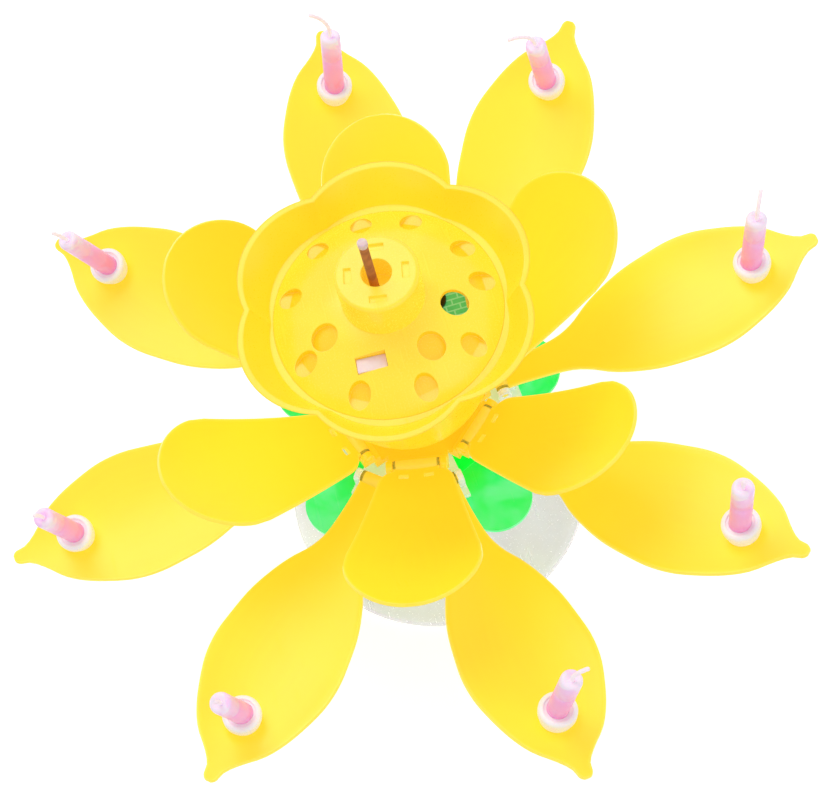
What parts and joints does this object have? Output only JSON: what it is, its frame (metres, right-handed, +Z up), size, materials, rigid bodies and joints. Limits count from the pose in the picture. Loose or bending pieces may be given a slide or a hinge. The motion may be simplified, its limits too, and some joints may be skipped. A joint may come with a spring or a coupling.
{
  "type": "musical birthday candle",
  "caption": "Musical birthday candle shaped as a lotus flower: hinged petals carry small candles round a motor-turned bowl with a fuse, on a flared stand.",
  "frame": {"origin": "centre of the face that the stand rests on, on the flower's axis", "axes": "+Z up along the axis that the flower turns on; -Y is the side that the picture is taken from"},
  "size_m": [0.2082, 0.2064, 0.1355],
  "materials": {
    "yellow_petal": "thin moulded plastic, soft gloss",
    "yellow_body": "moulded plastic, soft gloss",
    "green_plastic": "moulded plastic, soft gloss",
    "clear_plastic": "milky moulded plastic",
    "white_holder": "white moulded plastic",
    "pink_wax": "wax, satin",
    "wick_thread": "waxed cotton thread",
    "fuse_brown": "coated wire, matt",
    "fuse_wax": "wax",
    "steel": "turned steel",
    "motor_metal": "drawn steel can",
    "cell_metal": "bright nickel",
    "spring_metal": "thin strip",
    "gear_white": "moulded nylon",
    "board_green": "circuit board",
    "resin_black": "cured resin",
    "sounder_brass": "bright disc",
    "sensor_pink": "clear pink resin"
  },
  "bodies": {
    "stand": {"base_stand": "clear_plastic", "centre_post": "steel", "post_screw": "steel", "fixed_gear": "gear_white"},
    "flower_head": {"calyx": "green_plastic", "outer_petal_ring": "clear_plastic", "inner_petal_ring": "yellow_body", "centre_bowl": "yellow_body", "gear_cover": "gear_white", "cover_screws": "steel", "drive_motor": "motor_metal", "button_cells": "cell_metal", "battery_clips": "spring_metal", "seed_plate": "yellow_body", "circuit_board": "board_green", "sound_chip": "resin_black", "sounder_disc": "sounder_brass", "flame_sensor": "sensor_pink", "fuse_stick": "fuse_brown", "fuse_tip": "fuse_wax"},
    "idler": {"idler_gear": "gear_white"},
    "pinion": {"motor_pinion": "spring_metal"},
    "outer_petal_1": {"outer_petal_1": "yellow_petal", "candle_holder_1": "white_holder", "candle_1": "pink_wax", "wick_1": "wick_thread"},
    "outer_petal_2": {"outer_petal_2": "yellow_petal", "candle_holder_2": "white_holder", "candle_2": "pink_wax", "wick_2": "wick_thread"},
    "outer_petal_3": {"outer_petal_3": "yellow_petal", "candle_holder_3": "white_holder", "candle_3": "pink_wax", "wick_3": "wick_thread"},
    "outer_petal_4": {"outer_petal_4": "yellow_petal", "candle_holder_4": "white_holder", "candle_4": "pink_wax", "wick_4": "wick_thread"},
    "outer_petal_5": {"outer_petal_5": "yellow_petal", "candle_holder_5": "white_holder", "candle_5": "pink_wax", "wick_5": "wick_thread"},
    "outer_petal_6": {"outer_petal_6": "yellow_petal", "candle_holder_6": "white_holder", "candle_6": "pink_wax", "wick_6": "wick_thread"},
    "outer_petal_7": {"outer_petal_7": "yellow_petal", "candle_holder_7": "white_holder", "candle_7": "pink_wax", "wick_7": "wick_thread"},
    "outer_petal_8": {"outer_petal_8": "yellow_petal", "candle_holder_8": "white_holder", "candle_8": "pink_wax", "wick_8": "wick_thread"},
    "inner_petal_1": {"inner_petal_1": "yellow_petal"},
    "inner_petal_2": {"inner_petal_2": "yellow_petal"},
    "inner_petal_3": {"inner_petal_3": "yellow_petal"},
    "inner_petal_4": {"inner_petal_4": "yellow_petal"},
    "inner_petal_5": {"inner_petal_5": "yellow_petal"},
    "inner_petal_6": {"inner_petal_6": "yellow_petal"}
  },
  "joints": [
    {"name": "flower_spin", "type": "hinge", "parent": "stand", "child": "flower_head", "pos_m": [0, 0, 0.05], "axis": [0, 0, 1], "continuous": true},
    {"name": "idler_spin", "type": "hinge", "parent": "flower_head", "child": "idler", "pos_m": [0.01083, -0.00284, 0.078], "axis": [0, 0, 1], "continuous": true},
    {"name": "pinion_spin", "type": "hinge", "parent": "flower_head", "child": "pinion", "pos_m": [0.00766, 0.00643, 0.08], "axis": [0, 0, 1], "continuous": true},
    {"name": "outer_petal_1_hinge", "type": "hinge", "parent": "flower_head", "child": "outer_petal_1", "pos_m": [0.02147, 0.00111, 0.052], "axis": [0.0551, -0.9985, 0], "range_deg": [0, 60.9]},
    {"name": "outer_petal_2_hinge", "type": "hinge", "parent": "flower_head", "child": "outer_petal_2", "pos_m": [0.0144, 0.01597, 0.052], "axis": [0.7778, -0.6285, 0], "range_deg": [0, 47.7]},
    {"name": "outer_petal_3_hinge", "type": "hinge", "parent": "flower_head", "child": "outer_petal_3", "pos_m": [-0.00111, 0.02147, 0.052], "axis": [0.9983, -0.0583, 0], "range_deg": [0, 60]},
    {"name": "outer_petal_4_hinge", "type": "hinge", "parent": "flower_head", "child": "outer_petal_4", "pos_m": [-0.01597, 0.0144, 0.052], "axis": [0.6876, 0.7261, 0], "range_deg": [0, 62.3]},
    {"name": "outer_petal_5_hinge", "type": "hinge", "parent": "flower_head", "child": "outer_petal_5", "pos_m": [-0.02147, -0.00111, 0.052], "axis": [-0.0708, 0.9975, 0], "range_deg": [0, 73.9]},
    {"name": "outer_petal_6_hinge", "type": "hinge", "parent": "flower_head", "child": "outer_petal_6", "pos_m": [-0.0144, -0.01597, 0.052], "axis": [-0.7622, 0.6473, 0], "range_deg": [0, 58.9]},
    {"name": "outer_petal_7_hinge", "type": "hinge", "parent": "flower_head", "child": "outer_petal_7", "pos_m": [0.00111, -0.02147, 0.052], "axis": [-0.9901, -0.1402, 0], "range_deg": [0, 63]},
    {"name": "outer_petal_8_hinge", "type": "hinge", "parent": "flower_head", "child": "outer_petal_8", "pos_m": [0.01597, -0.0144, 0.052], "axis": [-0.6964, -0.7176, 0], "range_deg": [0, 50.7]},
    {"name": "inner_petal_1_hinge", "type": "hinge", "parent": "flower_head", "child": "inner_petal_1", "pos_m": [0.00376, 0.01709, 0.0565], "axis": [0.989, -0.1476, 0], "range_deg": [0, 35.5]},
    {"name": "inner_petal_2_hinge", "type": "hinge", "parent": "flower_head", "child": "inner_petal_2", "pos_m": [0.01668, 0.00529, 0.0565], "axis": [0.4164, -0.9092, 0], "range_deg": [0, 27.6]},
    {"name": "inner_petal_3_hinge", "type": "hinge", "parent": "flower_head", "child": "inner_petal_3", "pos_m": [0.01293, -0.0118, 0.0565], "axis": [-0.7265, -0.6872, 0], "range_deg": [0, 26.9]},
    {"name": "inner_petal_4_hinge", "type": "hinge", "parent": "flower_head", "child": "inner_petal_4", "pos_m": [-0.00376, -0.01709, 0.0565], "axis": [-0.9793, 0.2026, 0], "range_deg": [0, 33.6]},
    {"name": "inner_petal_5_hinge", "type": "hinge", "parent": "flower_head", "child": "inner_petal_5", "pos_m": [-0.01668, -0.00529, 0.0565], "axis": [-0.3158, 0.9488, 0], "range_deg": [0, 31.6]},
    {"name": "inner_petal_6_hinge", "type": "hinge", "parent": "flower_head", "child": "inner_petal_6", "pos_m": [-0.01293, 0.0118, 0.0565], "axis": [0.652, 0.7582, 0], "range_deg": [0, 27.5]}
  ],
  "couplings": [
    {"joint": "idler_spin", "follows": "flower_spin", "ratio": 3},
    {"joint": "pinion_spin", "follows": "flower_spin", "ratio": -7.5},
    {"joint": "outer_petal_2_hinge", "follows": "outer_petal_1_hinge", "ratio": 0.78325},
    {"joint": "outer_petal_3_hinge", "follows": "outer_petal_1_hinge", "ratio": 0.98522},
    {"joint": "outer_petal_4_hinge", "follows": "outer_petal_1_hinge", "ratio": 1.023},
    {"joint": "outer_petal_5_hinge", "follows": "outer_petal_1_hinge", "ratio": 1.2135},
    {"joint": "outer_petal_6_hinge", "follows": "outer_petal_1_hinge", "ratio": 0.96716},
    {"joint": "outer_petal_7_hinge", "follows": "outer_petal_1_hinge", "ratio": 1.0345},
    {"joint": "outer_petal_8_hinge", "follows": "outer_petal_1_hinge", "ratio": 0.83251},
    {"joint": "inner_petal_1_hinge", "follows": "outer_petal_1_hinge", "ratio": 0.58292},
    {"joint": "inner_petal_2_hinge", "follows": "outer_petal_1_hinge", "ratio": 0.4532},
    {"joint": "inner_petal_3_hinge", "follows": "outer_petal_1_hinge", "ratio": 0.44171},
    {"joint": "inner_petal_4_hinge", "follows": "outer_petal_1_hinge", "ratio": 0.55172},
    {"joint": "inner_petal_5_hinge", "follows": "outer_petal_1_hinge", "ratio": 0.51888},
    {"joint": "inner_petal_6_hinge", "follows": "outer_petal_1_hinge", "ratio": 0.45156}
  ]
}
